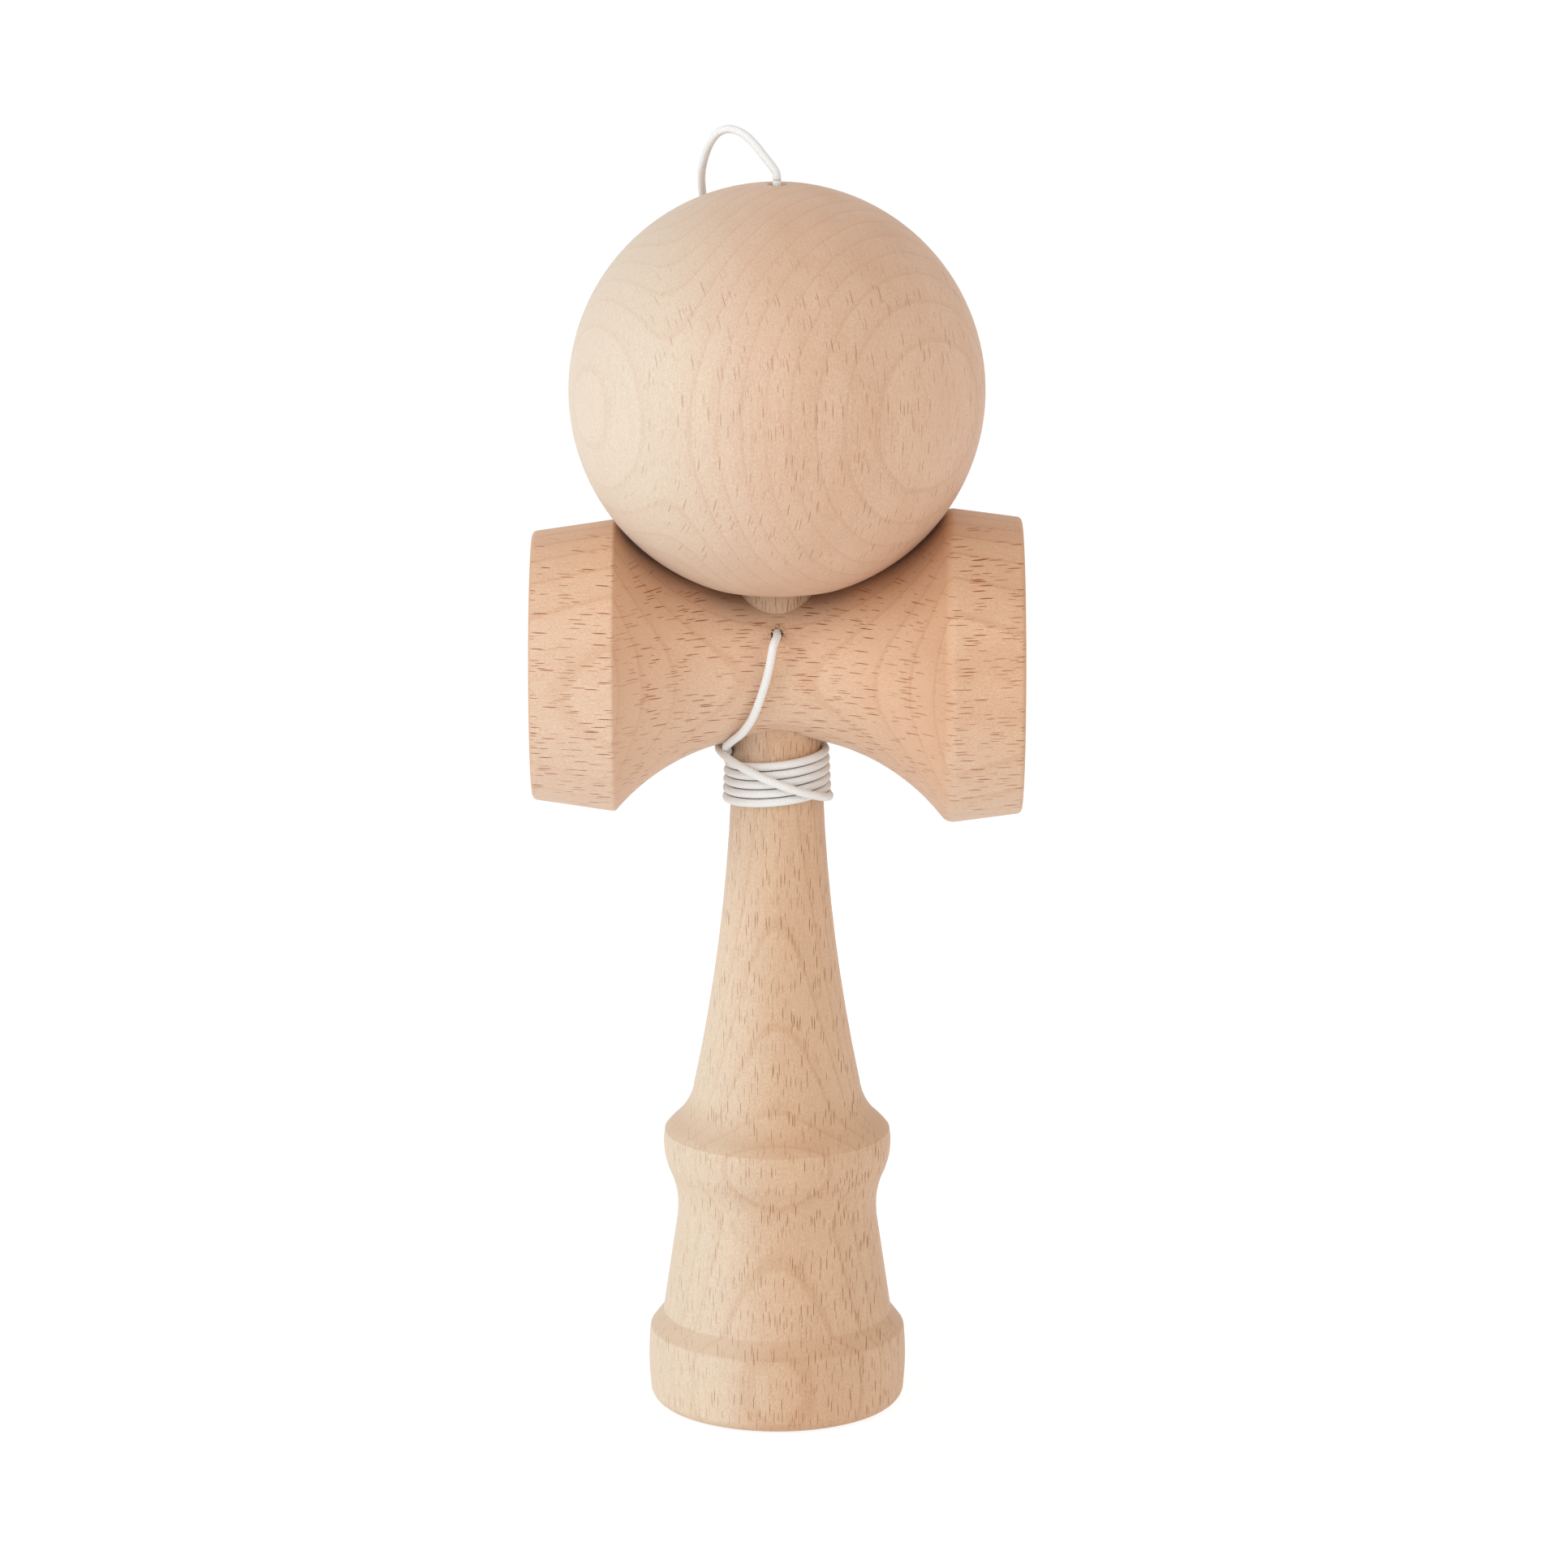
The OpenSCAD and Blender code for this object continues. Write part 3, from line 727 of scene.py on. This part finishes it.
# %% Torn mouth of the string hole
MOUTH, OUTWARDS = Vector((0, -7.94, 116.8)), Vector((0, -0.778, 0.627))
LEVEL, RISING = Vector((1, 0, 0)), Vector((0, 0.627, 0.778))
OVAL = 1.15
SPLINTERS, LAYERS, LAYER_DEPTH = 90, 3, 0.35
RIM_R, ROOT_R, TIP_R = 1.27, 0.2, 0.11
ROOT_SUNK, ROUND_SUNK = 0.02, 0.1  # in the surface, and more above and below, where it curves away
TIP_IN, TIP_OUT = 0.62, 1.0
LEAN_IN, LEAN_OUT, LEAN_FAR = -0.1, 0.15, 0.4
FAR_EVERY, FIRST_FAR = 15, 6

chance = np.random.default_rng(4)
bm = bmesh.new()
for i in range(SPLINTERS):
    a = 2 * math.pi * (i + chance.uniform(-0.5, 0.5)) / SPLINTERS
    ray = math.cos(a) * LEVEL + OVAL * math.sin(a) * RISING
    deep = LAYER_DEPTH * (i % LAYERS)
    root = MOUTH + RIM_R * ray - OUTWARDS * (deep + ROOT_SUNK + ROUND_SUNK * math.sin(a) ** 2)
    lean = LEAN_FAR if i % FAR_EVERY == FIRST_FAR else chance.uniform(LEAN_IN, LEAN_OUT)
    tip = MOUTH + chance.uniform(TIP_IN, TIP_OUT) * ray - OUTWARDS * (deep - lean)
    turn = (tip - root).to_track_quat("Z", "Y").to_matrix().to_4x4()
    bmesh.ops.create_cone(bm, cap_ends=True, segments=5, radius1=ROOT_R, radius2=TIP_R, depth=(tip - root).length,
                          matrix=Matrix.Translation((root + tip) / 2) @ turn)
bmesh.ops.scale(bm, verts=bm.verts, vec=(MM, MM, MM))
mesh = bpy.data.meshes.new("torn_mouth")
bm.to_mesh(mesh)
bm.free()
mesh.materials.append(crosspiece_beech)
torn_mouth = bpy.data.objects.new("torn_mouth", mesh)
bpy.context.scene.collection.objects.link(torn_mouth)
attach(torn_mouth, "handle")
print("torn_mouth faces:", len(mesh.polygons))

# %% [markdown]
# The ball is the palest. Its rings fold round the front, with an eye at the left and another at the right. Its
# rays come forward and a little to the right, so the flecks on its front stand nearly upright.

# %% Wood of the ball
RAY_X, RAY_Y = 0.4, -0.917
FOLD_X, FOLD_R = 15.0, 5.0
FOLD_STEEP, FOLD_SLANT, FOLD_DEPTH = 1.08, -0.3, 0.62


def slanted_axes(tree, xyz):
    x, y = xyz.outputs["X"], xyz.outputs["Y"]
    outward = plus(tree, times(tree, x, RAY_X), times(tree, y, RAY_Y))
    across = plus(tree, times(tree, x, -RAY_Y), times(tree, y, RAY_X))
    return xyz.outputs["Z"], across, outward


def ball_heart(wood):
    tree = wood.tree
    left = plus(tree, wood.xyz.outputs["X"], FOLD_X)
    fold = length_of(tree, left, FOLD_R)
    side = plus(tree, times(tree, fold, FOLD_STEEP), times(tree, left, FOLD_SLANT))
    return minus(tree, side, times(tree, wood.xyz.outputs["Y"], FOLD_DEPTH))


# The pale side at the left is partly paler sapwood and partly painted light from the window.
ball_beech = beech(
    "ball_beech", slanted_axes, ball_heart,
    tones=((0.71, 0.485, 0.345), (0.665, 0.43, 0.29), (0.59, 0.355, 0.225),
           (0.71, 0.59, 0.47), (0.42, 0.2, 0.1)),
    ring=dict(width=2.5, shift=0.1, depth=0.42, sway=1.2),
    fleck=dict(scale=(2.0, 0.135), share=0.46, on_pale_lit=0.4), fleck_strength=0.9,
    pale_lit=dict(direction=(1, 0, 0), start=6.0, full=-23.0), end_grain=0.12)
paint("ball", ball_beech)
paint("swivel_bead", ball_beech)

# %% [markdown]
# The string is braided from white yarn. Two sets of strands wind opposite ways and pass over and under each
# other, so the surface is a net of small raised stitches. The tube's UV map carries two slanted waves, one for
# each set, and their product is high only in the middle of a stitch. The yarn is coloured darker between the
# stitches, which is painted shade in the grooves.

# %% Braid
STITCHES_ROUND = 6.0
STITCHES_PER_DIAMETER = 4.0
YARN_AND_GROOVE_SHADE = [(0.0, (0.75, 0.73, 0.70)), (0.45, (0.89, 0.88, 0.865)), (1.0, (0.95, 0.945, 0.94))]
YARN_ROUGH, YARN_SHEEN = 0.6, 0.2

braid = bpy.data.materials.new("white_braid")
braid.use_nodes = True
tree = braid.node_tree
shader = tree.nodes["Principled BSDF"]
place = node(tree, "ShaderNodeUVMap", uv_map="braid")
split = node(tree, "ShaderNodeSeparateXYZ")
tree.links.new(place.outputs[0], split.inputs[0])
around = times(tree, split.outputs["X"], STITCHES_ROUND)
onward = times(tree, split.outputs["Y"], STITCHES_PER_DIAMETER)
crowns = [size_of(tree, math_node(tree, "SINE", times(tree, wave, math.pi)))
          for wave in (plus(tree, onward, around), minus(tree, onward, around))]
stitch = times(tree, *crowns)
# painted shade: the yarn is coloured darker where the stitches sink between each other
tree.links.new(ramp(tree, stitch, YARN_AND_GROOVE_SHADE), shader.inputs["Base Color"])
bump = node(tree, "ShaderNodeBump", Strength=0.6, Distance=0.08 * MM)
tree.links.new(stitch, bump.inputs["Height"])
tree.links.new(bump.outputs[0], shader.inputs["Normal"])
shader.inputs["Roughness"].default_value = YARN_ROUGH
shader.inputs["Sheen Weight"].default_value = YARN_SHEEN
for piece in (string, handle_end, ball_end):
    piece.data.materials.append(braid)
print("white_braid nodes:", len(tree.nodes))
